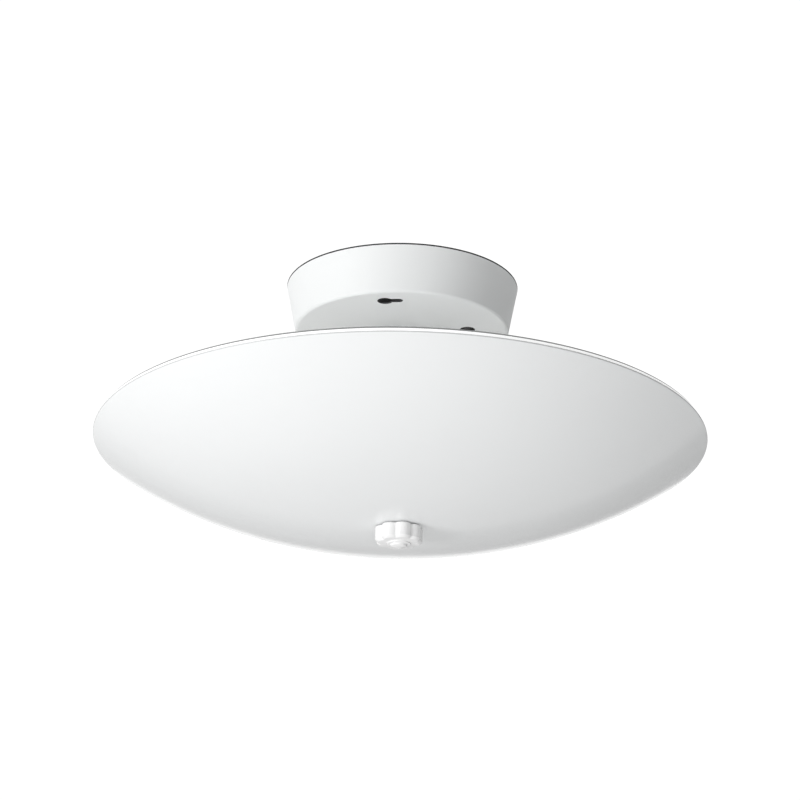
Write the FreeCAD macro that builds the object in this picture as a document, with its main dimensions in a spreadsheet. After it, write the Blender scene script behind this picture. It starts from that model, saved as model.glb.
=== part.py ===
import FreeCAD, Part
import math
import os
import Sketcher

# Semi-flush ceiling light: a shallow white glass dish hung under a tapered
# steel canopy on a threaded rod, with two opposed lampholders inside.
# Millimetres, +Z up.  The origin is the centre of the ceiling plane, which is
# the plane of the canopy's top edge, so the whole light hangs to -Z.
# X runs along the two lamps, and -Y is the front.

os.makedirs("parts", exist_ok=True)
V = FreeCAD.Vector
doc = FreeCAD.newDocument("ceiling_light")

# ---------------------------------------------------------------- dimensions
DIMS = [
    ("canopy_top_r", 60.9, "canopy outer radius at the ceiling"),
    ("canopy_bottom_r", 55.95, "canopy outer radius at its bottom corner"),
    ("canopy_depth", 25.1, "canopy height below the ceiling"),
    ("sheet_thick", 0.9, "canopy sheet steel"),
    ("canopy_bend_r", 1.6, "outer bend at the canopy's bottom corner"),
    ("box_wide_r", 44.45, "screw circle radius, 3-1/2 in outlet box spacing"),
    ("box_narrow_r", 34.925, "screw circle radius, 2-3/4 in outlet box spacing"),
    ("wide_entry_ang", -11.4, "keyhole entry angle on the wide circle, from -Y"),
    ("wide_slot_ang", -2.3, "keyhole slot end angle on the wide circle"),
    ("narrow_entry_ang", 80.0, "keyhole entry angle on the narrow circle"),
    ("narrow_slot_ang", 91.0, "keyhole slot end angle on the narrow circle"),
    ("key_entry_r", 3.97, "keyhole entry, 5/16 in hole for an 8-32 screw head"),
    ("key_slot_r", 2.2, "keyhole slot half width, 8-32 screw shank"),
    ("pad_r", 52.6, "insulation pad outer radius"),
    ("pad_thick", 5.5, "insulation pad thickness"),
    ("pad_eye_r", 23.0, "opening in the middle of the insulation pad"),
    ("pad_hole_r", 8.5, "openings in the pad round the keyholes"),
    ("strap_thick", 1.5, "socket bracket steel"),
    ("strap_half_w", 8.0, "half width of the socket bracket strip"),
    ("strap_half_x", 14.0, "outer face of the bracket legs"),
    ("strap_bend_r", 2.6, "outer bend of the bracket"),
    ("strap_foot_z", -91.0, "lower end of the bracket legs"),
    ("rivet_x", 8.0, "rivets either side of the rod"),
    ("rivet_shank_r", 1.55, "rivet shank"),
    ("lamp_axis_z", -76.0, "height of the lamp axis"),
    ("holder_floor", 20.0, "floor of the lampholder, from the middle"),
    ("holder_mouth", 50.0, "mouth of the lampholder, from the middle"),
    ("holder_base_r", 14.0, "lampholder base radius"),
    ("holder_r", 18.3, "lampholder barrel radius"),
    ("holder_bore_r", 14.4, "lampholder bore"),
    ("holder_screw_off", 8.0, "holder screws above and below the axis"),
    ("holder_screw_r", 1.6, "holder screw shank"),
    ("shell_bore_r", 13.4, "screw shell inside radius, E26"),
    ("shell_thick", 0.4, "screw shell brass"),
    ("shell_mouth", 47.0, "outer end of the screw shell"),
    ("contact_half_w", 3.0, "half width of the centre contact"),
    ("lamp_tip", 22.0, "lamp contact tip, from the middle"),
    ("lamp_tip_r", 4.5, "lamp contact tip radius"),
    ("lamp_base_r", 13.05, "lamp screw base radius, E26"),
    ("lamp_base_end", 49.0, "upper end of the lamp base"),
    ("bulb_r", 24.0, "A15 bulb radius"),
    ("bulb_mid", 87.0, "centre of the bulb's round end, from the middle"),
    ("bulb_wall", 0.9, "bulb glass"),
    ("bulb_taper", 21.1, "taper of the bulb's neck"),
    ("bulb_neck_r", 12.4, "bulb neck inside the base"),
    ("lead_r", 1.0, "18 AWG fixture lead over its insulation"),
    ("bush_x", 6.5, "wire bushing"),
    ("bush_y", 15.0, "wire bushing"),
    ("bush_hole_r", 4.95, "hole for the bushing"),
    ("bush_bore_r", 4.0, "bore of the bushing"),
    ("gnd_x", -8.0, "grounding screw"),
    ("gnd_y", 14.0, "grounding screw"),
    ("gnd_shank_r", 2.3, "grounding screw shank, 10-32"),
    ("conn_z", -13.5, "height of the wire connectors"),
    ("conn_white_x", 17.0, "mouth of the white connector"),
    ("conn_white_y", 12.5, "axis of the white connector"),
    ("conn_black_x", -4.0, "mouth of the black connector"),
    ("conn_black_y", 27.0, "axis of the black connector"),
    ("rod_r", 2.08, "8-32 threaded rod"),
    ("rod_top_z", -17.6, "upper end of the rod"),
    ("rod_tip_z", -140.6, "lower end of the rod"),
    ("rod_hole_r", 2.3, "clearance hole for the rod"),
    ("nut_half_af", 4.36, "8-32 nut, half across flats"),
    ("nut_thick", 3.2, "8-32 nut thickness"),
    ("dish_rim_r", 158.99, "dish outer edge radius, 12-1/2 in dish"),
    ("dish_rim_z", -88.15, "height of the dish's outer edge"),
    ("dish_sag", 44.75, "depth of the dish's outer face"),
    ("dish_middle_r", 346.5, "curve of the dish's flatter middle"),
    ("dish_flank_r", 240.0, "curve of the dish's rounder flank"),
    ("glass_thick", 4.3, "dish glass"),
    ("dish_hole_r", 5.0, "rod hole in the dish"),
    ("gasket_r", 11.0, "upper gasket"),
    ("gasket_thick", 1.6, "upper gasket"),
    ("stop_washer_r", 9.5, "stop washer"),
    ("knob_ring_r", 7.8, "centres of the knob's lobes"),
    ("knob_lobe_r", 4.6, "radius of each lobe"),
    ("knob_phase", 13.5, "angle of the front lobe from -Y"),
    ("knob_gap", 0.4, "knob's top edge below the dish"),
    ("knob_wall", 6.9, "height of the knob's lobed wall"),
    ("knob_bevel", 1.2, "height of the bevel under the wall"),
    ("knob_disc_r", 6.2, "raised disc under the knob"),
    ("knob_nub_r", 4.0, "tip of the knob"),
    ("knob_tip_z", -143.5, "lowest point of the light"),
    ("knob_recess_r", 8.9, "recess in the knob's top for its washer"),
    ("insert_r", 4.2, "brass insert in the knob"),
    ("insert_bore_r", 2.2, "threaded bore of the insert"),
]
sheet = doc.addObject("Spreadsheet::Sheet", "Dims")
for row, (alias, value, note) in enumerate(DIMS, 1):
    sheet.set("A%d" % row, alias)
    sheet.set("B%d" % row, repr(value))
    sheet.set("C%d" % row, note)
    sheet.setAlias("B%d" % row, alias)
doc.recompute()


class Q:
    """A size that knows its value and the expression that gives it."""

    def __init__(self, value, text):
        self.v, self.t = float(value), text

    def __add__(self, other):
        other = q(other)
        return Q(self.v + other.v, "(%s + %s)" % (self.t, other.t))

    def __sub__(self, other):
        other = q(other)
        return Q(self.v - other.v, "(%s - %s)" % (self.t, other.t))

    def __mul__(self, other):
        other = q(other)
        return Q(self.v * other.v, "(%s * %s)" % (self.t, other.t))

    def __truediv__(self, other):
        other = q(other)
        return Q(self.v / other.v, "(%s / %s)" % (self.t, other.t))

    def __neg__(self):
        return Q(-self.v, "(0 - %s)" % self.t)

    def __radd__(self, other):
        return q(other) + self

    def __rsub__(self, other):
        return q(other) - self

    def __rmul__(self, other):
        return q(other) * self


def q(x):
    return x if isinstance(x, Q) else Q(x, "(%.9f)" % x if x < 0 else "%.9f" % x)


def root(x):
    x = q(x)
    return Q(math.sqrt(x.v), "sqrt(%s)" % x.t)


def sind(x):
    x = q(x)
    return Q(math.sin(math.radians(x.v)), "sin(%s * 1 deg)" % x.t)


def cosd(x):
    x = q(x)
    return Q(math.cos(math.radians(x.v)), "cos(%s * 1 deg)" % x.t)


class Sizes:
    pass


D = Sizes()
for alias, value, note in DIMS:
    setattr(D, alias, Q(value, "Dims." + alias))


def worked_out(alias, value, note):
    """A size worked out from the others, kept in its own row of the sheet."""
    row = len(DIMS) + 1
    DIMS.append((alias, value.v, note))
    sheet.set("A%d" % row, alias)
    sheet.set("B%d" % row, "=" + value.t.replace("Dims.", ""))
    sheet.set("C%d" % row, note)
    sheet.setAlias("B%d" % row, alias)
    doc.recompute()
    if abs(float(sheet.get(alias)) - value.v) > 1e-9:
        raise RuntimeError("sheet disagrees on " + alias)
    setattr(D, alias, Q(value.v, "Dims." + alias))


# ------------------------------------------------------------------- helpers
def origin_plane(body, role):
    for f in body.Origin.OriginFeatures:
        if f.Role == role:
            return f
    raise RuntimeError(role)


def new_body(name):
    b = doc.addObject("PartDesign::Body", name)
    b.Label = name
    return b


def new_sketch(body, name, role, height=None):
    s = body.newObject("Sketcher::SketchObject", name)
    s.AttachmentSupport = [(origin_plane(body, role), "")]
    s.MapMode = "FlatFace"
    if height is not None:
        s.setExpression("AttachmentOffset.Base.z", q(height).t)
    return s


def pin(s, geo, pos, x, y):
    """Hold one point of the sketch at (x, y)."""
    for kind, val, axis in (("DistanceX", q(x), -2), ("DistanceY", q(y), -1)):
        if abs(val.v) < 1e-12:
            s.addConstraint(Sketcher.Constraint("PointOnObject", geo, pos, axis))
        else:
            k = s.addConstraint(Sketcher.Constraint(kind, -1, 1, geo, pos, val.v))
            s.setExpression("Constraints[%d]" % k, val.t)


def loop(s, pts, arcs=None):
    """Closed outline through pts; arcs = {segment: (radius, +1 centre on the
    left of the segment, -1 on its right)}."""
    arcs = arcs or {}
    n = len(pts)
    base = s.GeometryCount
    head = []
    for i in range(n):
        ax, ay = q(pts[i][0]).v, q(pts[i][1]).v
        bx, by = q(pts[(i + 1) % n][0]).v, q(pts[(i + 1) % n][1]).v
        if i in arcs:
            r, side = q(arcs[i][0]).v, arcs[i][1]
            mx, my, dx, dy = (ax + bx) / 2, (ay + by) / 2, bx - ax, by - ay
            half = math.hypot(dx, dy) / 2
            off = math.sqrt(max(r * r - half * half, 0)) * side / (2 * half)
            cx, cy = mx - dy * off, my + dx * off
            a0, a1 = math.atan2(ay - cy, ax - cx), math.atan2(by - cy, bx - cx)
            if side < 0:
                a0, a1 = a1, a0
            if a1 < a0:
                a1 += 2 * math.pi
            s.addGeometry(Part.ArcOfCircle(Part.Circle(V(cx, cy, 0), V(0, 0, 1), r), a0, a1), False)
            head.append((1, 2) if side > 0 else (2, 1))
        else:
            s.addGeometry(Part.LineSegment(V(ax, ay, 0), V(bx, by, 0)), False)
            head.append((1, 2))
    for i in range(n):
        j = (i + 1) % n
        s.addConstraint(Sketcher.Constraint("Coincident", base + i, head[i][1], base + j, head[j][0]))
    for i in range(n):
        pin(s, base + i, head[i][0], pts[i][0], pts[i][1])
    for i in arcs:
        k = s.addConstraint(Sketcher.Constraint("Radius", base + i, q(arcs[i][0]).v))
        s.setExpression("Constraints[%d]" % k, q(arcs[i][0]).t)


def ring(s, cx, cy, r):
    g = s.addGeometry(Part.Circle(V(q(cx).v, q(cy).v, 0), V(0, 0, 1), q(r).v), False)
    k = s.addConstraint(Sketcher.Constraint("Radius", g, q(r).v))
    s.setExpression("Constraints[%d]" % k, q(r).t)
    if abs(q(cx).v) < 1e-12 and abs(q(cy).v) < 1e-12:
        s.addConstraint(Sketcher.Constraint("Coincident", g, 3, -1, 1))
    else:
        pin(s, g, 3, cx, cy)


def hexagon(s, half_af):
    r = half_af * (2 / math.sqrt(3))
    loop(s, [(r * math.cos(math.radians(60 * k)), r * math.sin(math.radians(60 * k))) for k in range(6)])


def revolve(body, name, pts, arcs=None, cut=False):
    """Turned shape: the outline (radius, height) about the body's own Z."""
    s = new_sketch(body, name + "_sk", "XZ_Plane")
    loop(s, pts, arcs)
    f = body.newObject("PartDesign::Groove" if cut else "PartDesign::Revolution", name)
    f.Profile = s
    f.ReferenceAxis = (s, ["V_Axis"])
    f.Angle = 360
    doc.recompute()
    return f


def pad(body, name, s, length, both=False):
    f = body.newObject("PartDesign::Pad", name)
    f.Profile = s
    if both:
        f.SideType = "Symmetric"
    f.setExpression("Length", q(length).t)
    doc.recompute()
    return f


def pocket(body, name, s, length):
    """Cut both ways from the sketch, so the direction can't be wrong."""
    doc.recompute()
    before = body.Shape.Volume
    f = body.newObject("PartDesign::Pocket", name)
    f.Profile = s
    f.SideType = "Symmetric"
    f.setExpression("Length", q(length).t)
    doc.recompute()
    if not body.Shape.Volume < before - 1e-6:
        raise RuntimeError("pocket %s cut nothing" % name)
    return f


def place(obj, x=0.0, y=0.0, z=0.0, axis=None, angle=0.0):
    obj.Placement = FreeCAD.Placement(V(q(x).v, q(y).v, q(z).v), FreeCAD.Rotation(axis or V(0, 0, 1), angle))
    for k, val in (("x", x), ("y", y), ("z", z)):
        if isinstance(val, Q):
            obj.setExpression("Placement.Base." + k, val.t)


def drill(name, r, length, x, y, z, axis=None, angle=0.0):
    c = doc.addObject("Part::Cylinder", name)
    c.setExpression("Radius", q(r).t)
    c.setExpression("Height", q(length).t)
    place(c, x, y, z, axis, angle)
    return c


def cut_away(label, base, tools):
    """The base piece with holes made by the given tools."""
    doc.recompute()
    group = doc.addObject("Part::Compound", label + "_tools")
    group.Links = tools
    f = doc.addObject("Part::Cut", label + "_cut")
    f.Base = base
    f.Tool = group
    base.Label = label + "_blank"
    f.Label = label
    before = base.Shape.Volume
    doc.recompute()
    if not f.Shape.Volume < before - 1e-6:
        raise RuntimeError("cut in %s removed nothing" % label)
    return f


def together(label, pieces):
    """Identical fasteners kept as separate solids in one sub-part."""
    g = doc.addObject("Part::Compound", label)
    g.Links = pieces
    g.Label = label
    for i, p in enumerate(pieces):
        p.Label = "%s_%d" % (label, i + 1)
    return g


subparts = []
Y = V(0, 1, 0)

# -------------------------------------------------------------------- canopy
# Drawn steel cup, open upwards: flat bottom, one small bend, tapered wall.
run_x = D.canopy_top_r - D.canopy_bottom_r
slant = root(run_x * run_x + D.canopy_depth * D.canopy_depth)
ux, uz = run_x / slant, D.canopy_depth / slant
half_tan = root((1 - ux) / (1 + ux))
wall_x = D.sheet_thick / uz
in_bend = D.canopy_bend_r - D.sheet_thick
lo, li = D.canopy_bend_r * half_tan, in_bend * half_tan
floor_z = D.sheet_thick - D.canopy_depth
in_x = D.canopy_top_r - wall_x + floor_z * run_x / D.canopy_depth
canopy = new_body("canopy")
revolve(canopy, "canopy_cup", [
    (D.rod_hole_r, -D.canopy_depth),
    (D.canopy_bottom_r - lo, -D.canopy_depth),
    (D.canopy_bottom_r + ux * lo, uz * lo - D.canopy_depth),
    (D.canopy_top_r, 0),
    (D.canopy_top_r - wall_x, 0),
    (in_x + ux * li, floor_z + uz * li),
    (in_x - li, floor_z),
    (D.rod_hole_r, floor_z),
], {1: (D.canopy_bend_r, 1), 5: (in_bend, -1)})
entries = new_sketch(canopy, "key_entries", "XY_Plane", -D.canopy_depth)
slots = new_sketch(canopy, "key_slots", "XY_Plane", -D.canopy_depth)
KEYS = []
for circle_r, a0, a1 in ((D.box_wide_r, D.wide_entry_ang, D.wide_slot_ang),
                         (D.box_narrow_r, D.narrow_entry_ang, D.narrow_slot_ang)):
    for half in (0, 180):
        KEYS.append((circle_r, a0 + half, a1 + half))
for circle_r, a0, a1 in KEYS:
    # a keyhole's slot runs along the screw circle, so the light twists on
    ring(entries, circle_r * sind(a0), -circle_r * cosd(a0), D.key_entry_r)
    r_in, r_out = circle_r - D.key_slot_r, circle_r + D.key_slot_r
    cx, cy = circle_r * sind(a1), -circle_r * cosd(a1)
    loop(slots, [
        (r_in * sind(a0), -r_in * cosd(a0)),
        (r_in * sind(a1), -r_in * cosd(a1)),
        (cx + D.key_slot_r * cosd(a1), cy + D.key_slot_r * sind(a1)),
        (r_out * sind(a1), -r_out * cosd(a1)),
        (r_out * sind(a0), -r_out * cosd(a0)),
    ], {0: (r_in, 1), 1: (D.key_slot_r, -1), 2: (D.key_slot_r, -1), 3: (r_out, -1)})
pocket(canopy, "key_entry_holes", entries, 6)
pocket(canopy, "key_slot_holes", slots, 6)
small = new_sketch(canopy, "small_holes", "XY_Plane", -D.canopy_depth)
ring(small, D.bush_x, D.bush_y, D.bush_hole_r)
ring(small, D.gnd_x, D.gnd_y, D.gnd_shank_r + 0.05)
ring(small, D.rivet_x, 0, D.rivet_shank_r + 0.05)
ring(small, -D.rivet_x, 0, D.rivet_shank_r + 0.05)
pocket(canopy, "bush_and_screw_holes", small, 6)
subparts.append(canopy)

# ------------------------------------------------------------ insulation pad
# Glass-fibre disc lying on the canopy's floor, open round the screws.
padbody = new_body("insulation_pad")
s = new_sketch(padbody, "pad_disc_sk", "XY_Plane", floor_z + 0.05)
ring(s, 0, 0, D.pad_r)
ring(s, 0, 0, D.pad_eye_r)
pad(padbody, "pad_disc", s, D.pad_thick)
s = new_sketch(padbody, "pad_holes_sk", "XY_Plane", floor_z)
for circle_r, a0, a1 in KEYS:
    mid = (a0 + a1) / 2
    ring(s, circle_r * sind(mid), -circle_r * cosd(mid), D.pad_hole_r)
pocket(padbody, "pad_holes", s, 30)
subparts.append(padbody)

# ------------------------------------------------------------ socket bracket
# Steel strip bent to an upside-down U under the canopy.
strap_top = -D.canopy_depth
bi = D.strap_bend_r - D.strap_thick
bracket = new_body("socket_bracket")
s = new_sketch(bracket, "strap_sk", "XZ_Plane")
ox, ix = D.strap_half_x, D.strap_half_x - D.strap_thick
oz, iz = strap_top, strap_top - D.strap_thick
loop(s, [
    (-ox, D.strap_foot_z), (-ox, oz - D.strap_bend_r), (-ox + D.strap_bend_r, oz),
    (ox - D.strap_bend_r, oz), (ox, oz - D.strap_bend_r), (ox, D.strap_foot_z),
    (ix, D.strap_foot_z), (ix, iz - bi), (ix - bi, iz),
    (-ix + bi, iz), (-ix, iz - bi), (-ix, D.strap_foot_z),
], {1: (D.strap_bend_r, -1), 3: (D.strap_bend_r, -1), 7: (bi, 1), 9: (bi, 1)})
pad(bracket, "strap", s, D.strap_half_w * 2, both=True)
s = new_sketch(bracket, "strap_top_holes_sk", "XY_Plane", iz)
ring(s, 0, 0, D.rod_hole_r)
ring(s, D.rivet_x, 0, D.rivet_shank_r + 0.05)
ring(s, -D.rivet_x, 0, D.rivet_shank_r + 0.05)
pocket(bracket, "strap_top_holes", s, 8)
s = new_sketch(bracket, "strap_leg_holes_sk", "YZ_Plane")
ring(s, 0, D.lamp_axis_z + D.holder_screw_off, D.holder_screw_r + 0.1)
ring(s, 0, D.lamp_axis_z - D.holder_screw_off, D.holder_screw_r + 0.1)
pocket(bracket, "strap_leg_holes", s, 80)
# rounded lower corners of the legs
s = new_sketch(bracket, "strap_corner_sk", "YZ_Plane")
c = 3.0
for sy in (1, -1):
    loop(s, [
        (D.strap_half_w * sy, D.strap_foot_z - 1), (D.strap_half_w * sy, D.strap_foot_z + c),
        ((D.strap_half_w - c) * sy, D.strap_foot_z), ((D.strap_half_w - c) * sy, D.strap_foot_z - 1),
    ], {1: (q(c), -1 if sy > 0 else 1)})
pocket(bracket, "strap_corners", s, 80)
subparts.append(bracket)

# ---------------------------------------------------- rivets, rod and nuts
rivets = []
for k, sx in enumerate((1, -1)):
    b = new_body("rivet%d" % k)
    sh, hd, tail = D.rivet_shank_r, floor_z, iz
    revolve(b, "rivet_turned%d" % k, [
        (0, tail - 1.2), (1.7, tail - 1.2), (2.4, tail - 0.5), (2.4, tail), (sh, tail),
        (sh, hd), (2.6, hd), (2.3, hd + 0.7), (1.2, hd + 1.25), (0, hd + 1.3),
    ])
    place(b, D.rivet_x * sx, 0, 0)
    rivets.append(b)
subparts.append(together("bracket_rivets", rivets))

rod = new_body("threaded_rod")
ch = 0.5
revolve(rod, "rod_turned", [
    (0, D.rod_tip_z), (D.rod_r - ch, D.rod_tip_z), (D.rod_r, D.rod_tip_z + ch),
    (D.rod_r, D.rod_top_z - ch), (D.rod_r - ch, D.rod_top_z), (0, D.rod_top_z),
])
subparts.append(rod)


def nut(name, z_low):
    """Hex nut with both faces chamfered."""
    b = new_body(name)
    s = new_sketch(b, name + "_sk", "XY_Plane", z_low)
    hexagon(s, D.nut_half_af)
    pad(b, name + "_hex", s, D.nut_thick)
    corner = D.nut_half_af * (2 / math.sqrt(3))
    for tag, zf, d in (("low", z_low, 1), ("top", z_low + D.nut_thick, -1)):
        revolve(b, name + "_cham_" + tag, [
            (D.nut_half_af, zf), (corner + 0.6, zf), (corner + 0.6, zf + 0.67 * d),
        ], cut=True)
    s = new_sketch(b, name + "_bore_sk", "XY_Plane", z_low)
    ring(s, 0, 0, D.rod_r + 0.06)
    pocket(b, name + "_bore", s, 30)
    subparts.append(b)


lock_t = 1.0
lock = new_body("lock_washer")
revolve(lock, "lock_turned", [
    (D.rod_r + 0.2, floor_z), (4.3, floor_z), (4.3, floor_z + lock_t), (D.rod_r + 0.2, floor_z + lock_t),
])
# the split of the spring washer
s = new_sketch(lock, "lock_split_sk", "XY_Plane", floor_z)
loop(s, [(1.5, 0.1), (5.5, 0.4), (5.5, 1.0), (1.5, 0.7)])
pocket(lock, "lock_split", s, 8)
subparts.append(lock)
nut("rod_nut_upper", floor_z + lock_t)
nut("rod_nut_lower", iz - D.nut_thick)

# --------------------------------------------------- bushing, ground screw
bush = new_body("wire_bushing")
revolve(bush, "bush_turned", [
    (D.bush_bore_r, -D.canopy_depth - 2.2), (5.1, -D.canopy_depth - 2.2), (5.5, -D.canopy_depth - 0.05),
    (4.9, -D.canopy_depth - 0.05), (4.9, floor_z), (6.0, floor_z), (6.0, floor_z + 1.0),
    (5.6, floor_z + 1.4), (D.bush_bore_r + 0.5, floor_z + 1.4), (D.bush_bore_r, floor_z + 0.9),
])
place(bush, D.bush_x, D.bush_y, 0)
subparts.append(bush)

gnd = new_body("ground_screw")
revolve(gnd, "gnd_turned", [
    (0, -31.0), (D.gnd_shank_r - 0.6, -31.0), (D.gnd_shank_r, -30.4), (D.gnd_shank_r, floor_z),
    (4.3, floor_z), (4.3, floor_z + 0.8), (3.4, floor_z + 0.9), (0, floor_z + 0.9),
])
s = new_sketch(gnd, "gnd_hex_sk", "XY_Plane", floor_z + 0.8)
hexagon(s, q(3.2))
pad(gnd, "gnd_hex", s, 2.4)
s = new_sketch(gnd, "gnd_slot_sk", "XY_Plane", floor_z + 3.2)
loop(s, [(-5, -0.5), (5, -0.5), (5, 0.5), (-5, 0.5)])
pocket(gnd, "gnd_slot", s, 2.4)
place(gnd, D.gnd_x, D.gnd_y, 0)
subparts.append(gnd)

# ------------------------------------------------------------- lampholders
# Each holder is turned about its own Z, which points outwards along the lamp.
LEADS_AT = (4.0, 8.0)


def side_pieces(side, sx):
    turn = 90.0 * sx

    def lie(obj, local_x=0.0):
        # local +Z to sx*X; local +X to -sx*Z
        place(obj, 0, 0, D.lamp_axis_z - local_x * sx, Y, turn)

    h = new_body("lampholder_%s_blank" % side)
    base, fl, mo = D.strap_half_x, D.holder_floor, D.holder_mouth
    revolve(h, "holder_%s_turned" % side, [
        (0, base), (D.holder_base_r - 0.8, base), (D.holder_base_r, base + 0.8),
        (D.holder_base_r, base + 3.6), (D.holder_r, base + 8), (D.holder_r, mo - 1.2),
        (D.holder_r - 0.35, mo - 0.35), (D.holder_r - 1.2, mo), (D.holder_bore_r + 0.8, mo),
        (D.holder_bore_r, mo - 0.8), (D.holder_bore_r, fl), (0, fl),
    ])
    lie(h)
    tools = []
    for k, off in enumerate((1, -1)):
        # screw holes in the base, from the bracket side
        if sx > 0:
            tools.append(drill("hole_%s_%d" % (side, k), D.holder_screw_r + 0.1, 5.7, base - 1, 0,
                               D.lamp_axis_z + D.holder_screw_off * off, Y, 90))
        else:
            tools.append(drill("hole_%s_%d" % (side, k), D.holder_screw_r + 0.1, 5.7, -base + 1, 0,
                               D.lamp_axis_z + D.holder_screw_off * off, Y, -90))
    for k, y in enumerate(LEADS_AT):
        depth = math.sqrt(D.holder_base_r.v ** 2 - y * y) - 4.2
        tools.append(drill("lead_hole_%s_%d" % (side, k), D.lead_r + 0.15, 8, 16.0 * sx, y,
                           D.lamp_axis_z + depth))
    subparts.append(cut_away("lampholder_%s" % side, h, tools))

    sh = new_body("screw_shell_%s" % side)
    r0, r1 = D.shell_bore_r, D.shell_bore_r + D.shell_thick
    revolve(sh, "shell_%s_turned" % side, [
        (10.5, fl), (r1, fl), (r1, D.shell_mouth), (r0, D.shell_mouth), (r0, fl + 0.5), (10.5, fl + 0.5),
    ])
    lie(sh)
    subparts.append(sh)

    co = new_body("center_contact_%s" % side)
    s = new_sketch(co, "contact_%s_sk" % side, "XZ_Plane")
    loop(s, [
        (-8, fl), (-8, fl + 0.5), (-4.2, fl + 0.5), (-2.2, fl + 1.7), (2.2, fl + 1.7), (4.2, fl + 0.5),
        (8, fl + 0.5), (8, fl), (3.9, fl), (1.9, fl + 1.2), (-1.9, fl + 1.2), (-3.9, fl),
    ])
    pad(co, "contact_%s_strip" % side, s, D.contact_half_w * 2, both=True)
    lie(co)
    subparts.append(co)

    # the lamp: contact tip, black insulator, screw base, glass bulb
    t0 = D.lamp_tip
    tip = new_body("lamp_%s_tip" % side)
    revolve(tip, "tip_%s_turned" % side, [
        (0, t0), (2.6, t0 + 0.25), (4.0, t0 + 0.8), (D.lamp_tip_r, t0 + 1.4), (D.lamp_tip_r, t0 + 2.6), (0, t0 + 2.6),
    ])
    lie(tip)
    ins = new_body("lamp_%s_insulator" % side)
    revolve(ins, "insulator_%s_turned" % side, [
        (D.lamp_tip_r + 0.05, t0 + 1.5), (5.4, t0 + 1.5), (11.0, t0 + 3.2), (10.6, t0 + 4.2), (D.lamp_tip_r + 0.05, t0 + 3.4),
    ])
    lie(ins)
    be, br = D.lamp_base_end, D.lamp_base_r
    bs = new_body("lamp_%s_base" % side)
    revolve(bs, "base_%s_turned" % side, [
        (11.05, t0 + 3.2), (br - 0.3, t0 + 4.6), (br, t0 + 5.4), (br, be), (D.bulb_neck_r + 0.06, be),
        (D.bulb_neck_r + 0.06, t0 + 5.6), (10.7, t0 + 4.3),
    ])
    lie(bs)
    bt, bw, cb = D.bulb_taper, D.bulb_wall, D.bulb_mid
    R0, R1 = D.bulb_r, D.bulb_r - D.bulb_wall
    za = 54.0
    def along(R):
        # end of the tapered neck, at height za
        tx, tz = R * cosd(bt), cb - R * sind(bt)
        return tx - (tz - za) * sind(bt) / cosd(bt)
    bulb = new_body("lamp_%s_bulb" % side)
    nr, ni = D.bulb_neck_r, D.bulb_neck_r - bw
    revolve(bulb, "bulb_%s_turned" % side, [
        (nr, be - 2.5), (nr, be + 0.3), (along(R0), za), (R0 * cosd(bt), cb - R0 * sind(bt)), (R0, cb), (0, cb + R0),
        (0, cb + R1), (R1, cb), (R1 * cosd(bt), cb - R1 * sind(bt)), (along(R1), za), (ni, be + 0.6), (ni, be - 2.5),
    ], {3: (R0, 1), 4: (R0, 1), 6: (R1, -1), 7: (R1, -1)})
    lie(bulb)
    for b in (tip, ins, bs, bulb):
        subparts.append(b)


side_pieces("left", -1)
side_pieces("right", 1)

screws = []
for side, sx in (("left", -1), ("right", 1)):
    for off in (1, -1):
        b = new_body("hscrew_%s_%s" % (side, "up" if off > 0 else "low"))
        seat = D.strap_half_x - D.strap_thick
        revolve(b, "hscrew_%s_%s_turned" % (side, "up" if off > 0 else "low"), [
            (0, seat - 2.2), (1.9, seat - 2.2), (2.8, seat - 1.3), (2.8, seat), (D.holder_screw_r, seat),
            (D.holder_screw_r, 17.9), (D.holder_screw_r - 0.5, 18.4), (0, 18.4),
        ])
        place(b, 0, 0, D.lamp_axis_z + D.holder_screw_off * off, Y, 90.0 * sx)
        screws.append(b)
subparts.append(together("holder_screws", screws))

# ---------------------------------------------------------- wire connectors
conns = []
for tag, cx, cy, ang in (("white", D.conn_white_x, D.conn_white_y, 90.0),
                         ("black", D.conn_black_x, D.conn_black_y, -90.0)):
    b = new_body("conn_%s" % tag)
    revolve(b, "conn_%s_turned" % tag, [
        (3.7, 0), (4.5, 0), (4.8, 0.8), (4.3, 9.0), (3.4, 14.6), (2.6, 15.8), (0, 16.2), (0, 9.0), (2.4, 9.0), (3.4, 7.5),
    ])
    place(b, cx, cy, D.conn_z, Y, ang)
    conns.append(b)
subparts.append(together("wire_connectors", conns))


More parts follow.
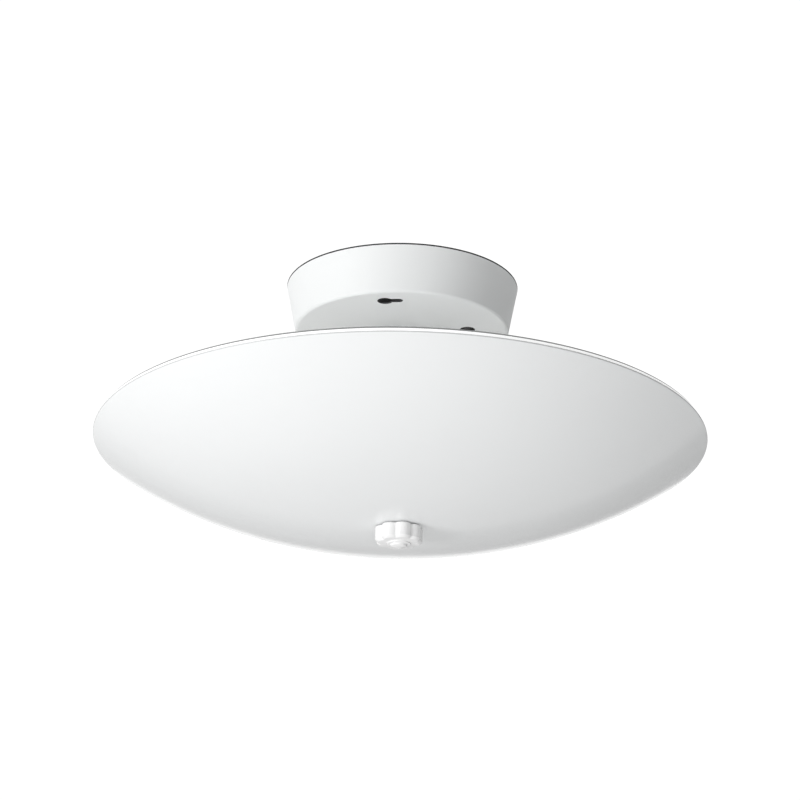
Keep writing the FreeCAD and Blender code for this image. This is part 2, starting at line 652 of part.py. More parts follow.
# ------------------------------------------------------------------- leads
# Each lead runs from its lampholder up through the bushing to a connector.
def lead(label, pts, radius):
    pts = [V(*p) for p in pts]
    edges, at, report = [], pts[0], []
    for i in range(1, len(pts) - 1):
        a, p, b = pts[i - 1], pts[i], pts[i + 1]
        u, w = (a - p).normalize(), (b - p).normalize()
        turn = math.pi - u.getAngle(w)
        reach = 0.45 * min((a - p).Length, (b - p).Length)
        r = reach / math.tan(turn / 2)
        p0, p1 = p + u * reach, p + w * reach
        bis = (u + w).normalize()
        mid = p + bis * (r / math.cos(turn / 2) - r)
        edges.append(Part.LineSegment(at, p0).toShape())
        edges.append(Part.Arc(p0, mid, p1).toShape())
        at = p1
        report.append(round(r, 1))
    edges.append(Part.LineSegment(at, pts[-1]).toShape())
    path = Part.Wire(edges)
    start = (pts[1] - pts[0]).normalize()
    face = Part.Wire([Part.Circle(pts[0], start, radius).toShape()])
    shape = path.makePipeShell([face], True, False)
    want = math.pi * radius ** 2 * path.Length
    print("%-18s length %.1f  arc radii %s  volume %.2f of %.2f" % (label, path.Length, report, shape.Volume, want))
    if abs(shape.Volume - want) > 0.01 * want:
        raise RuntimeError("lead %s has the wrong volume" % label)
    f = doc.addObject("Part::Feature", label)
    f.Label = label
    f.Shape = shape
    f.Placement = FreeCAD.Placement()
    subparts.append(f)


bx, by, az = sheet.bush_x, sheet.bush_y, sheet.lamp_axis_z
hr, cz = sheet.holder_base_r, sheet.conn_z
wx, wy = sheet.conn_white_x, sheet.conn_white_y
kx, ky = sheet.conn_black_x, sheet.conn_black_y
lr = sheet.lead_r


def foot(y):
    return az + math.sqrt(hr ** 2 - y * y) - 3.9


o = 1.25
y0, y1 = LEADS_AT
lead("lead_black_right", [
    (16.0, y1, foot(y1)), (16.0, y1, -59.0), (17.6, 11.6, -48.5), (14.0, 16.2, -39.5), (bx + o + 0.9, by + o + 0.6, -32.0),
    (bx + o, by + o, -24.5), (bx + o + 0.2, by + o + 1.6, -18.0), (6.2, 24.0, -13.9), (0.4, 28.2, -13.1), (kx - 6, ky + 1.15, cz),
], lr)
lead("lead_white_right", [
    (16.0, y0, foot(y0)), (16.0, y0, -56.5), (18.0, 7.8, -46.0), (14.2, 12.2, -37.0), (bx + o + 1.0, by - o - 0.1, -30.5),
    (bx + o, by - o, -23.5), (bx + o + 1.6, by - o + 0.3, -16.8), (wx - 2.2, wy + 1.5, -12.7), (wx + 6, wy + 1.15, cz),
], lr)
lead("lead_black_left", [
    (-16.0, y1, foot(y1)), (-16.0, y1, -59.0), (-17.4, 11.9, -49.0), (-11.5, 16.6, -41.0), (-2.0, by + o + 1.0, -35.0),
    (bx - o - 0.6, by + o + 0.4, -29.5), (bx - o, by + o, -22.5), (bx - o - 0.9, by + o + 1.6, -16.9), (0.9, 22.0, -13.6), (-3.4, 25.5, -13.4), (kx - 6, ky - 1.15, cz),
], lr)
lead("lead_white_left", [
    (-16.0, y0, foot(y0)), (-16.0, y0, -56.0), (-17.6, 8.0, -45.8), (-11.0, 12.4, -37.4), (-2.6, by - o - 0.4, -32.6),
    (bx - o - 0.8, by - o - 0.2, -28.5), (bx - o, by - o, -22.0), (bx - o + 0.5, by - o - 1.5, -16.6), (9.4, 10.5, -12.8), (15.0, 11.2, -13.2), (wx + 6, wy - 1.15, cz),
], lr)

# ------------------------------------------------------------- glass dish
# Even glass whose outer outline is two arcs running into each other: a
# flatter middle and a rounder flank. The edge is cut square to the glass.
sag, rim = D.dish_sag, D.dish_rim_r
glass_low = D.dish_rim_z - sag
worked_out("middle_z", glass_low + D.dish_middle_r, "centre of the middle's arc, on the axis")
worked_out("edge_drop", D.dish_rim_z - D.middle_z, "from that centre down to the outer edge")
worked_out("edge_span", root(rim * rim + D.edge_drop * D.edge_drop), "from that centre to the outer edge")
worked_out("arc_gap", D.dish_middle_r - D.dish_flank_r, "between the two arcs' centres")
worked_out("gap_along", (D.edge_span * D.edge_span + D.arc_gap * D.arc_gap - D.dish_flank_r * D.dish_flank_r)
           / (2 * D.edge_span), "part of it along the line to the outer edge")
worked_out("gap_across", root(D.arc_gap * D.arc_gap - D.gap_along * D.gap_along), "part of it across that line")
worked_out("flank_r", (D.gap_along * rim + D.gap_across * D.edge_drop) / D.edge_span, "centre of the flank's arc, off the axis")
worked_out("flank_z", D.middle_z + (D.gap_along * D.edge_drop - D.gap_across * rim) / D.edge_span, "height of the flank's centre")
worked_out("edge_sin", (rim - D.flank_r) / D.dish_flank_r, "slope of the glass at its edge")
worked_out("edge_cos", (D.flank_z - D.dish_rim_z) / D.dish_flank_r, "slope of the glass at its edge")
Ro, Ri = D.dish_flank_r, D.dish_flank_r - D.glass_thick
Mo, Mi = D.dish_middle_r, D.dish_middle_r - D.glass_thick
a_ = 0.45
dish = new_body("glass_dish")
hr_ = D.dish_hole_r
zo, zi = D.middle_z - root(Mo * Mo - hr_ * hr_), D.middle_z - root(Mi * Mi - hr_ * hr_)


def on_flank(R, back):
    """Point of the flank's arc R, set back along it from the edge face."""
    s1, c1 = D.edge_sin - back * D.edge_cos / R, D.edge_cos + back * D.edge_sin / R
    n1 = root(s1 * s1 + c1 * c1)
    return D.flank_r + R * s1 / n1, D.flank_z - R * c1 / n1


def arcs_meet(R):
    """Where the middle's arc R runs into the flank's."""
    return D.flank_r * R / D.arc_gap, D.middle_z + (D.flank_z - D.middle_z) * R / D.arc_gap


Po, Pi = on_flank(Ro, q(a_)), on_flank(Ri, q(a_))
Eo = (D.flank_r + (Ro - a_) * D.edge_sin, D.flank_z - (Ro - a_) * D.edge_cos)
Ei = (D.flank_r + (Ri + a_) * D.edge_sin, D.flank_z - (Ri + a_) * D.edge_cos)
revolve(dish, "dish_turned", [
    (hr_, zo), arcs_meet(Mo), Po, Eo, Ei, Pi, arcs_meet(Mi), (hr_, zi),
], {0: (Mo, 1), 1: (Ro, 1), 5: (Ri, -1), 6: (Mi, -1)})
subparts.append(dish)
print("dish arcs: flank centre %.4f %.4f, meet at %.3f %.3f" % (D.flank_r.v, D.flank_z.v, arcs_meet(Mo)[0].v, arcs_meet(Mo)[1].v))

glass_in = glass_low + D.glass_thick
g0 = glass_in + 0.25
gasket = new_body("gasket_upper")
revolve(gasket, "gasket_turned", [
    (D.rod_r + 0.4, g0), (D.gasket_r - 0.4, g0), (D.gasket_r, g0 + 0.4), (D.gasket_r, g0 + D.gasket_thick),
    (D.rod_r + 0.4, g0 + D.gasket_thick),
])
subparts.append(gasket)
w0 = g0 + D.gasket_thick + 0.3
washer = new_body("stop_washer")
revolve(washer, "stop_washer_turned", [
    (D.rod_hole_r, w0), (D.stop_washer_r, w0), (D.stop_washer_r, w0 + 1.2), (D.rod_hole_r, w0 + 1.2),
])
subparts.append(washer)
nut("stop_nut", w0 + 1.2)

# -------------------------------------------------------------------- knob
# Eight round lobes, a bevel below them, then a disc and a rounded tip.
kt = glass_low - D.knob_gap
kb = kt - D.knob_wall - D.knob_bevel
knob = new_body("knob")
s = new_sketch(knob, "lobes_sk", "XY_Plane", kb)
notch = D.knob_ring_r * math.cos(math.radians(22.5)) + root(
    D.knob_lobe_r * D.knob_lobe_r - D.knob_ring_r * D.knob_ring_r * math.sin(math.radians(22.5)) ** 2)
out = D.knob_ring_r + D.knob_lobe_r
corners = []
for k in range(8):
    a = D.knob_phase + 22.5 + 45.0 * k
    corners.append((notch * sind(a), -notch * cosd(a)))
loop(s, corners, {k: (D.knob_lobe_r, 1) for k in range(8)})
pad(knob, "lobes", s, D.knob_wall + D.knob_bevel)
revolve(knob, "bevel", [
    (out - 3.4, kb), (out + 1, kb), (out + 1, kb + D.knob_bevel), (out, kb + D.knob_bevel), (out - 1.0, kb + 0.45),
], cut=True)
revolve(knob, "top_round", [
    (out - 0.9, kt), (out + 1, kt), (out + 1, kt - 0.9), (out, kt - 0.9),
], cut=True)
dz = kb - 0.6
revolve(knob, "disc_and_tip", [
    (0, D.knob_tip_z), (1.4, D.knob_tip_z + 0.2), (D.knob_nub_r - 0.5, D.knob_tip_z + 0.8), (D.knob_nub_r, dz),
    (D.knob_disc_r - 0.3, dz), (D.knob_disc_r, dz + 0.3), (D.knob_disc_r, kb + 0.6), (0, kb + 0.6),
])
rec = kt - 0.9
s = new_sketch(knob, "recess_sk", "XY_Plane", kt)
ring(s, 0, 0, D.knob_recess_r)
pocket(knob, "recess", s, 1.8)
ins_top, ins_low = rec - 0.1, q(-141.2)
s = new_sketch(knob, "socket_sk", "XY_Plane", kt)
ring(s, 0, 0, D.insert_r + 0.03)
pocket(knob, "socket", s, (kt - ins_low + 0.05) * 2)
subparts.append(knob)

insert = new_body("knob_insert")
revolve(insert, "insert_turned", [
    (D.insert_bore_r, ins_low), (D.insert_r, ins_low), (D.insert_r, ins_top - 0.4), (D.insert_r - 0.4, ins_top),
    (D.insert_bore_r + 0.3, ins_top), (D.insert_bore_r, ins_top - 0.3),
])
subparts.append(insert)
kw = new_body("knob_washer")
revolve(kw, "knob_washer_turned", [
    (D.rod_hole_r + 0.2, rec + 0.03), (D.knob_recess_r - 0.3, rec + 0.03), (D.knob_recess_r - 0.3, rec + 1.08), (D.rod_hole_r + 0.2, rec + 1.08),
])
subparts.append(kw)

# ------------------------------------------------------- checks and export
doc.recompute()
bad = []
for obj in doc.Objects:
    if "Invalid" in obj.State or "Error" in obj.State:
        bad.append("%s %s" % (obj.Name, obj.State))
names = [p.Label for p in subparts]
for p in subparts:
    if p.Shape.isNull() or not p.Shape.isValid() or not p.Shape.Solids:
        bad.append("%s has a bad shape" % p.Label)
if len(set(names)) != len(names) or len(names) > 60:
    bad.append("labels repeat or are too many")
if bad:
    raise RuntimeError("; ".join(bad))
for p in subparts:
    b = p.Shape.BoundBox
    print("%-22s solids %d  volume %10.1f  x %.2f %.2f  y %.2f %.2f  z %.2f %.2f" % (
        p.Label, len(p.Shape.Solids), p.Shape.Volume, b.XMin, b.XMax, b.YMin, b.YMax, b.ZMin, b.ZMax))
    p.Shape.exportStep("parts/%s.step" % p.Label)
print("%d sub-parts" % len(subparts))
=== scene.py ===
import math
import bpy
import bmesh
from mathutils import Matrix, Vector, noise


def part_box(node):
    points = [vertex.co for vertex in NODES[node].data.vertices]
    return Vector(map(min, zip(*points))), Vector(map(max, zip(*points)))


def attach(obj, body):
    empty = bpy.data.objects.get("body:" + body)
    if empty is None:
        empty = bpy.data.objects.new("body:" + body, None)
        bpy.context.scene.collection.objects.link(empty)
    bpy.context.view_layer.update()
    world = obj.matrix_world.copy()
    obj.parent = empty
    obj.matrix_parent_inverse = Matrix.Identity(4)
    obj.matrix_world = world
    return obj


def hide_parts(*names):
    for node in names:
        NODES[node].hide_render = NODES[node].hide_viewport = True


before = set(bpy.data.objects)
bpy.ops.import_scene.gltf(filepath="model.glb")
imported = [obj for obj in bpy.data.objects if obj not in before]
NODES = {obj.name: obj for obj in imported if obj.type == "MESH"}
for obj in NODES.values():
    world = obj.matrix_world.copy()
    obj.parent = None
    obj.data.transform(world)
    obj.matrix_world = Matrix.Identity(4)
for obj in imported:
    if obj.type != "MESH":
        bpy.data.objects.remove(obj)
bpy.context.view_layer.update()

MM = 0.001


# ------------------------------------------------------------------ mesh tools
def make(name, verts, faces, mat=None, smooth=True, sharp=None):
    me = bpy.data.meshes.new(name)
    me.from_pydata([tuple(v) for v in verts], [], faces)
    me.validate()
    me.update()
    ob = bpy.data.objects.new(name, me)
    bpy.context.scene.collection.objects.link(ob)
    bm = bmesh.new()
    bm.from_mesh(me)
    bmesh.ops.remove_doubles(bm, verts=bm.verts, dist=1e-7)
    bmesh.ops.recalc_face_normals(bm, faces=bm.faces)
    bm.to_mesh(me)
    bm.free()
    for p in me.polygons:
        p.use_smooth = smooth
    if sharp is not None:
        me.set_sharp_from_angle(angle=math.radians(sharp))
    if mat:
        me.materials.append(mat)
    return ob


def rounded(pts, closed=True):
    """Outline with filleted corners: each point is (r, z) or (r, z, fillet)."""
    out = []
    n = len(pts)
    for i, p in enumerate(pts):
        f = p[2] if len(p) > 2 else 0.0
        if f <= 0 or (not closed and i in (0, n - 1)):
            out.append((p[0], p[1]))
            continue
        a, b = pts[i - 1], pts[(i + 1) % n]
        va, vb = Vector((a[0] - p[0], a[1] - p[1])), Vector((b[0] - p[0], b[1] - p[1]))
        la, lb = va.length, vb.length
        va.normalize()
        vb.normalize()
        ang = va.angle(vb)
        if abs(ang - math.pi) < 0.02:
            out.append((p[0], p[1]))
            continue
        cut = min(f / math.tan(ang / 2), la * 0.49, lb * 0.49)
        r = cut * math.tan(ang / 2)
        c = Vector((p[0], p[1])) + (va + vb).normalized() * (r / math.sin(ang / 2))
        s, e = Vector((p[0], p[1])) + va * cut, Vector((p[0], p[1])) + vb * cut
        t0 = math.atan2(s.y - c.y, s.x - c.x)
        t1 = math.atan2(e.y - c.y, e.x - c.x)
        d = (t1 - t0 + math.pi) % (2 * math.pi) - math.pi
        k = max(3, int(abs(d) / math.radians(15)) + 1)
        for j in range(k + 1):
            t = t0 + d * j / k
            out.append((c.x + r * math.cos(t), c.y + r * math.sin(t)))
    return out


def arc(cx, cz, r, a0, a1, n):
    return [(cx + r * math.cos(math.radians(a0 + (a1 - a0) * i / n)),
             cz + r * math.sin(math.radians(a0 + (a1 - a0) * i / n))) for i in range(n + 1)]


def axis_z(x=0.0, y=0.0):
    return lambda r, a, t: (x + r * math.cos(t), y + r * math.sin(t), a)


def axis_x(sx, zc, yc=0.0, x0=0.0):
    return lambda r, a, t: (x0 + sx * a, yc + r * math.cos(t), zc + r * math.sin(t))


def lathe(name, prof, mat, seg=128, where=None, closed=True, sharp=40, radius=None):
    """Turned piece. prof = [(radius, height)] in mm; radius(r, a, t) may bend it."""
    where = where or axis_z()
    verts, faces, rows = [], [], []
    for (r, a) in prof:
        if r < 1e-6:
            rows.append([len(verts)] * seg)
            verts.append([c * MM for c in where(0, a, 0)])
        else:
            rows.append(list(range(len(verts), len(verts) + seg)))
            for k in range(seg):
                t = 2 * math.pi * k / seg
                rr = radius(r, a, t) if radius else r
                verts.append([c * MM for c in where(rr, a, t)])
    n = len(rows)
    for i in range(n if closed else n - 1):
        A, B = rows[i], rows[(i + 1) % n]
        for k in range(seg):
            q = [A[k], A[(k + 1) % seg], B[(k + 1) % seg], B[k]]
            u = []
            for v in q:
                if v not in u:
                    u.append(v)
            if len(u) > 2:
                faces.append(u)
    return make(name, verts, faces, mat, True, sharp)


def apply_mods(ob):
    dg = bpy.context.evaluated_depsgraph_get()
    dg.update()
    me = bpy.data.meshes.new_from_object(ob.evaluated_get(dg))
    old = ob.data
    ob.modifiers.clear()
    ob.data = me
    bpy.data.meshes.remove(old)
    return ob


def cut(ob, cutters):
    for c in cutters:
        m = ob.modifiers.new("cut", "BOOLEAN")
        m.operation = "DIFFERENCE"
        m.solver = "EXACT"
        m.object = c
    apply_mods(ob)
    for c in cutters:
        me = c.data
        bpy.data.objects.remove(c)
        bpy.data.meshes.remove(me)
    return ob


def bevel(ob, width_mm, angle=40, seg=2, sharp=40):
    m = ob.modifiers.new("edge", "BEVEL")
    m.width = width_mm * MM
    m.segments = seg
    m.limit_method = "ANGLE"
    m.angle_limit = math.radians(angle)
    m.harden_normals = False
    apply_mods(ob)
    return even_normals(ob, sharp)


def even_normals(ob, sharp=40):
    """Flat faces stay flat in the shading, and their rounded edges blend into them."""
    for p in ob.data.polygons:
        p.use_smooth = True
    ob.data.set_sharp_from_angle(angle=math.radians(sharp))
    m = ob.modifiers.new("normals", "WEIGHTED_NORMAL")
    m.mode = "FACE_AREA"
    m.weight = 100
    m.keep_sharp = True
    return apply_mods(ob)


def prism(name, outline, z0, z1):
    """Closed prism of an outline [(x, y)] in mm."""
    n = len(outline)
    verts = [(x * MM, y * MM, z0 * MM) for x, y in outline] + [(x * MM, y * MM, z1 * MM) for x, y in outline]
    faces = [list(range(n))[::-1], list(range(n, 2 * n))]
    faces += [[i, (i + 1) % n, n + (i + 1) % n, n + i] for i in range(n)]
    return make(name, verts, faces, None, False)


# ------------------------------------------------------------------- materials
def material(name):
    m = bpy.data.materials.new(name)
    m.use_nodes = True
    nt = m.node_tree
    return m, nt, nt.nodes["Principled BSDF"]


def node(nt, kind, **vals):
    n = nt.nodes.new(kind)
    for k, v in vals.items():
        if k in n.inputs:
            n.inputs[k].default_value = v
        else:
            setattr(n, k, v)
    return n


def ramp(nt, src, stops):
    r = nt.nodes.new("ShaderNodeValToRGB")
    els = r.color_ramp.elements
    while len(els) > 1:
        els.remove(els[-1])
    for i, (p, c) in enumerate(stops):
        e = els[0] if i == 0 else els.new(p)
        e.position = p
        e.color = (c, c, c, 1) if isinstance(c, (int, float)) else tuple(c) + (1,)
    nt.links.new(src, r.inputs["Fac"])
    return r


def surface(name, base, rough, metal=0.0, vary=0.02, rvary=0.05, grain=400.0, bump=0.02, dist=0.0002,
            mottle=30.0, coat=0.0, spec=0.5, ior=1.5, aniso=None, stretch=None, dirt=None, coat_rough=0.05):
    """General finish: colour mottle, roughness variation and a fine bump."""
    m, nt, p = material(name)
    tc = nt.nodes.new("ShaderNodeTexCoord")
    src = tc.outputs["Object"]
    if stretch:
        mp = node(nt, "ShaderNodeMapping")
        mp.inputs["Scale"].default_value = stretch
        nt.links.new(src, mp.inputs["Vector"])
        fine_src = mp.outputs["Vector"]
    else:
        fine_src = src
    n1 = node(nt, "ShaderNodeTexNoise", Scale=mottle, Detail=4.0, Roughness=0.55)
    nt.links.new(src, n1.inputs["Vector"])
    lo = tuple(max(0.0, c * (1 - vary)) for c in base)
    hi = tuple(min(1.0, c * (1 + vary)) for c in base)
    cr = ramp(nt, n1.outputs["Fac"], [(0.3, lo), (0.7, hi)])
    col = cr.outputs["Color"]
    if dirt:
        # faint dust and age marks gather in broad soft patches
        n3 = node(nt, "ShaderNodeTexNoise", Scale=dirt[1], Detail=8.0, Roughness=0.7)
        nt.links.new(src, n3.inputs["Vector"])
        dr = ramp(nt, n3.outputs["Fac"], [(0.55, 0.0), (0.75, 1.0)])
        sc = node(nt, "ShaderNodeMath", operation="MULTIPLY")
        sc.inputs[1].default_value = dirt[0]
        nt.links.new(dr.outputs["Color"], sc.inputs[0])
        mx = node(nt, "ShaderNodeMix", data_type="RGBA")
        nt.links.new(sc.outputs[0], mx.inputs["Factor"])
        nt.links.new(col, mx.inputs[6])
        mx.inputs[7].default_value = tuple(dirt[2]) + (1,)
        col = mx.outputs[2]
    nt.links.new(col, p.inputs["Base Color"])
    n2 = node(nt, "ShaderNodeTexNoise", Scale=grain, Detail=3.0, Roughness=0.6)
    nt.links.new(fine_src, n2.inputs["Vector"])
    rr = ramp(nt, n2.outputs["Fac"], [(0.3, max(0.0, rough - rvary)), (0.7, min(1.0, rough + rvary))])
    nt.links.new(rr.outputs["Color"], p.inputs["Roughness"])
    b = node(nt, "ShaderNodeBump", Strength=bump, Distance=dist)
    nt.links.new(n2.outputs["Fac"], b.inputs["Height"])
    nt.links.new(b.outputs["Normal"], p.inputs["Normal"])
    p.inputs["Metallic"].default_value = metal
    p.inputs["IOR"].default_value = ior
    p.inputs["Specular IOR Level"].default_value = spec
    p.inputs["Coat Weight"].default_value = coat
    p.inputs["Coat Roughness"].default_value = coat_rough
    if aniso:
        p.inputs["Anisotropic"].default_value = aniso
    return m


enamel = surface("white_enamel", (0.828, 0.84, 0.84), 0.50, vary=0.006, rvary=0.04, grain=900, bump=0.035,
                 dist=0.00012, mottle=14, coat=0.0, spec=0.35, dirt=(0.05, 40, (0.6, 0.58, 0.54)))
opal = surface("opal_glass", (0.893, 0.905, 0.907), 0.13, vary=0.006, rvary=0.03, grain=60, bump=0.012,
               dist=0.0004, mottle=8, coat=0.0, ior=1.45, spec=0.28, dirt=(0.03, 60, (0.7, 0.69, 0.66)))
# painted shade: a grey band on the outer arris, darker than the glass face, draws the thin grey line under the rim
grey_outer_arris = surface("outer_arris_painted_shade", (0.62, 0.63, 0.63), 0.5, vary=0.03, rvary=0.06, grain=900, bump=0.04,
                       dist=0.0001, mottle=90)
# painted shade: a dark band on the inner arris of the rim stands in for the shade on that edge
painted_shade_arris = surface("glass_arris_painted_shade", (0.21, 0.215, 0.215), 0.45, vary=0.05, rvary=0.06, grain=900, bump=0.04,
                     dist=0.0001, mottle=90, spec=0.3)
glowing_edge_glass = surface("glass_edge", (0.88, 0.885, 0.885), 0.4, vary=0.01, rvary=0.05, grain=900, bump=0.04,
                     dist=0.0001, mottle=90, spec=0.3)
# painted glow: a small emission keeps the cut edge bright, standing in for room light carried out through the opal
# glass
lit = glowing_edge_glass.node_tree.nodes["Principled BSDF"]
lit.inputs["Emission Color"].default_value = (1, 1, 1, 1)
lit.inputs["Emission Strength"].default_value = 0.30
# the sheet's cut edge on the canopy's top, darkened to near-black to paint the shade along the ceiling line
cut_edge_and_shade = surface("cut_steel_edge_and_shade", (0.035, 0.035, 0.037), 0.6, metal=0.0, vary=0.2, rvary=0.1, grain=900, bump=0.1,
                   dist=0.0001, mottle=150, spec=0.15)
# painted shade: the canopy's inside and its holes' walls are near-black, standing in for the dark of the closed canopy
# seen through the keyholes
painted_shade_interior = surface("interior_painted_shade", (0.045, 0.045, 0.048), 0.55, vary=0.15, rvary=0.1, grain=700, bump=0.08,
                 dist=0.0001, mottle=60, dirt=(0.3, 90, (0.10, 0.095, 0.09)))
# painted highlight: a brighter, glossier ring round each hole in the canopy
painted_highlight_rim = surface("hole_rim_painted_highlight", (0.97, 0.97, 0.97), 0.25, vary=0.01, rvary=0.05, grain=900, bump=0.03,
                  dist=0.0001, mottle=150, spec=1.0, coat=0.5)
knob_mat = surface("gloss_white_knob", (0.93, 0.93, 0.93), 0.08, vary=0.008, rvary=0.03, grain=700, bump=0.03,
                   dist=0.0001, mottle=60, coat=0.3)
porcelain = surface("glazed_porcelain", (0.86, 0.84, 0.79), 0.14, vary=0.02, rvary=0.05, grain=500, bump=0.06,
                    dist=0.0002, mottle=60, coat=0.3, dirt=(0.15, 160, (0.45, 0.40, 0.34)))
zinc = surface("zinc_plate", (0.62, 0.63, 0.62), 0.32, metal=1.0, vary=0.12, rvary=0.12, grain=1200, bump=0.05,
               dist=0.0001, mottle=120, dirt=(0.3, 220, (0.32, 0.31, 0.28)))
strap_mat = surface("rolled_zinc_strip", (0.60, 0.61, 0.60), 0.34, metal=1.0, vary=0.10, rvary=0.12, grain=500,
                    bump=0.08, dist=0.0001, mottle=80, stretch=(6.0, 6.0, 0.4), dirt=(0.35, 140, (0.30, 0.29, 0.27)))
alu = surface("bare_aluminium", (0.78, 0.78, 0.79), 0.30, metal=1.0, vary=0.05, rvary=0.1, grain=900, bump=0.05,
              dist=0.0001, mottle=100, dirt=(0.2, 200, (0.5, 0.5, 0.5)))
brass = surface("bare_brass", (0.72, 0.52, 0.22), 0.28, metal=1.0, vary=0.10, rvary=0.12, grain=700, bump=0.05,
                dist=0.0001, mottle=90, dirt=(0.4, 150, (0.30, 0.19, 0.08)))
solder = surface("solder", (0.62, 0.62, 0.61), 0.40, metal=1.0, vary=0.15, rvary=0.15, grain=600, bump=0.2,
                 dist=0.0002, mottle=150)
nylon = surface("natural_nylon", (0.80, 0.78, 0.72), 0.42, vary=0.03, rvary=0.08, grain=800, bump=0.05,
                dist=0.0001, mottle=60)
rubber = surface("black_rubber", (0.035, 0.035, 0.036), 0.62, vary=0.3, rvary=0.12, grain=900, bump=0.25,
                 dist=0.0002, mottle=80, dirt=(0.25, 120, (0.15, 0.14, 0.13)))
green = surface("green_screw", (0.03, 0.22, 0.09), 0.30, vary=0.15, rvary=0.1, grain=600, bump=0.06,
                dist=0.0001, mottle=150, dirt=(0.5, 260, (0.25, 0.26, 0.24)))
lead_black = surface("black_insulation", (0.018, 0.018, 0.02), 0.42, vary=0.3, rvary=0.1, grain=700, bump=0.08,
                     dist=0.0001, mottle=90, dirt=(0.2, 100, (0.10, 0.10, 0.10)))
lead_white = surface("white_insulation", (0.80, 0.79, 0.75), 0.42, vary=0.03, rvary=0.1, grain=700, bump=0.08,
                     dist=0.0001, mottle=90, dirt=(0.25, 100, (0.45, 0.42, 0.38)))
orange = surface("orange_connector", (0.62, 0.16, 0.03), 0.45, vary=0.08, rvary=0.08, grain=900, bump=0.12,
                 dist=0.0001, mottle=70, dirt=(0.2, 160, (0.25, 0.10, 0.05)))
vitrite = surface("black_vitrite", (0.012, 0.012, 0.013), 0.12, vary=0.3, rvary=0.06, grain=500, bump=0.05,
                  dist=0.0001, mottle=90)
frost = surface("frosted_bulb", (0.84, 0.84, 0.82), 0.22, vary=0.01, rvary=0.06, grain=1500, bump=0.05,
                dist=0.00008, mottle=20, coat=0.5, coat_rough=0.04)


def felt_material():
    m, nt, p = material("glass_fibre_felt_painted_dark")
    tc = nt.nodes.new("ShaderNodeTexCoord")
    mp = node(nt, "ShaderNodeMapping")
    mp.inputs["Scale"].default_value = (1.0, 1.0, 3.0)
    nt.links.new(tc.outputs["Object"], mp.inputs["Vector"])
    # long fibres: noise stretched one way, then the other, over a soft mottle
    fib = []
    for ang, seed in ((0.4, 0.0), (1.5, 3.1), (2.6, 7.7)):
        r = node(nt, "ShaderNodeMapping")
        r.inputs["Rotation"].default_value = (0.2, 0.1, ang)
        r.inputs["Location"].default_value = (seed, seed, 0)
        r.inputs["Scale"].default_value = (2400, 160, 900)
        nt.links.new(mp.outputs["Vector"], r.inputs["Vector"])
        n = node(nt, "ShaderNodeTexNoise", Scale=1.0, Detail=2.0)
        nt.links.new(r.outputs["Vector"], n.inputs["Vector"])
        fib.append(n.outputs["Fac"])
    a = node(nt, "ShaderNodeMath", operation="MAXIMUM")
    nt.links.new(fib[0], a.inputs[0])
    nt.links.new(fib[1], a.inputs[1])
    b = node(nt, "ShaderNodeMath", operation="MAXIMUM")
    nt.links.new(a.outputs[0], b.inputs[0])
    nt.links.new(fib[2], b.inputs[1])
    mot = node(nt, "ShaderNodeTexNoise", Scale=60.0, Detail=5.0)
    nt.links.new(tc.outputs["Object"], mot.inputs["Vector"])
    # near-black fibre tones: painted shade of the closed canopy's inside, seen through the keyholes
    base = ramp(nt, b.outputs[0], [(0.45, (0.010, 0.010, 0.009)), (0.62, (0.026, 0.025, 0.023)), (0.75, (0.075, 0.073, 0.069))])
    tone = ramp(nt, mot.outputs["Fac"], [(0.3, 0.78), (0.7, 1.0)])
    mx = node(nt, "ShaderNodeMix", data_type="RGBA", blend_type="MULTIPLY")
    mx.inputs["Factor"].default_value = 1.0
    nt.links.new(base.outputs["Color"], mx.inputs[6])
    nt.links.new(tone.outputs["Color"], mx.inputs[7])
    nt.links.new(mx.outputs[2], p.inputs["Base Color"])
    p.inputs["Roughness"].default_value = 0.92
    p.inputs["Sheen Weight"].default_value = 0.35
    bp = node(nt, "ShaderNodeBump", Strength=0.7, Distance=0.0006)
    nt.links.new(b.outputs[0], bp.inputs["Height"])
    nt.links.new(bp.outputs["Normal"], p.inputs["Normal"])
    return m


felt = felt_material()


def finish_node(name, mat, edge=None, sharp=35):
    """Give a CAD piece its finish, with a small rounded edge."""
    o = NODES[name]
    o.data.materials.clear()
    o.data.materials.append(mat)
    if edge:
        m = o.modifiers.new("edge", "BEVEL")
        m.width = edge * MM
        m.segments = 2
        m.limit_method = "ANGLE"
        m.angle_limit = math.radians(sharp)
    return o


def put(ob, body, cad):
    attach(ob, body)
    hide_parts(*([cad] if isinstance(cad, str) else cad))
    return ob


def zbox(name):
    lo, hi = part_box(name)
    return lo[2] / MM, hi[2] / MM


# -------------------------------------------------------------------- the dish
g_lo, g_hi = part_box("glass_dish")
rim_r = g_hi[0] / MM                       # outermost edge of the glass
THICK = 4.3
low = g_lo[2] / MM
hole = 5.0
# the outer face is two arcs running into each other, as on the solid: a
# flatter middle round a centre on the axis, a rounder flank off it
MO, FO = 346.5, 240.0
MI, FI = MO - THICK, FO - THICK
mid = low + math.sqrt(MO * MO - hole * hole)
RIM_Z = -88.15
arris = 0.55
edge_r = rim_r + 0.205                     # the square corner the arris rounds off
drop = RIM_Z - mid
span = math.hypot(edge_r, drop)
gap = MO - FO
along = (span * span + gap * gap - FO * FO) / (2 * span)
across = math.sqrt(gap * gap - along * along)
fx = (along * edge_r + across * drop) / span
fz = mid + (along * drop - across * edge_r) / span
th = math.asin((edge_r - fx) / FO)
tj = math.asin(fx / gap)                   # slope where the arcs meet
nstep = 60


def on_mid(R, t):
    return (R * math.sin(t), mid - R * math.cos(t))


def on_flank(R, t):
    return (fx + R * math.sin(t), fz - R * math.cos(t))


t0o, t0i = math.asin(hole / MO), math.asin(hole / MI)
prof = [on_mid(MO, t0o + (tj - t0o) * i / nstep) for i in range(nstep)]
prof += [on_flank(FO, tj + (th - arris / FO - tj) * i / nstep) for i in range(nstep + 1)]
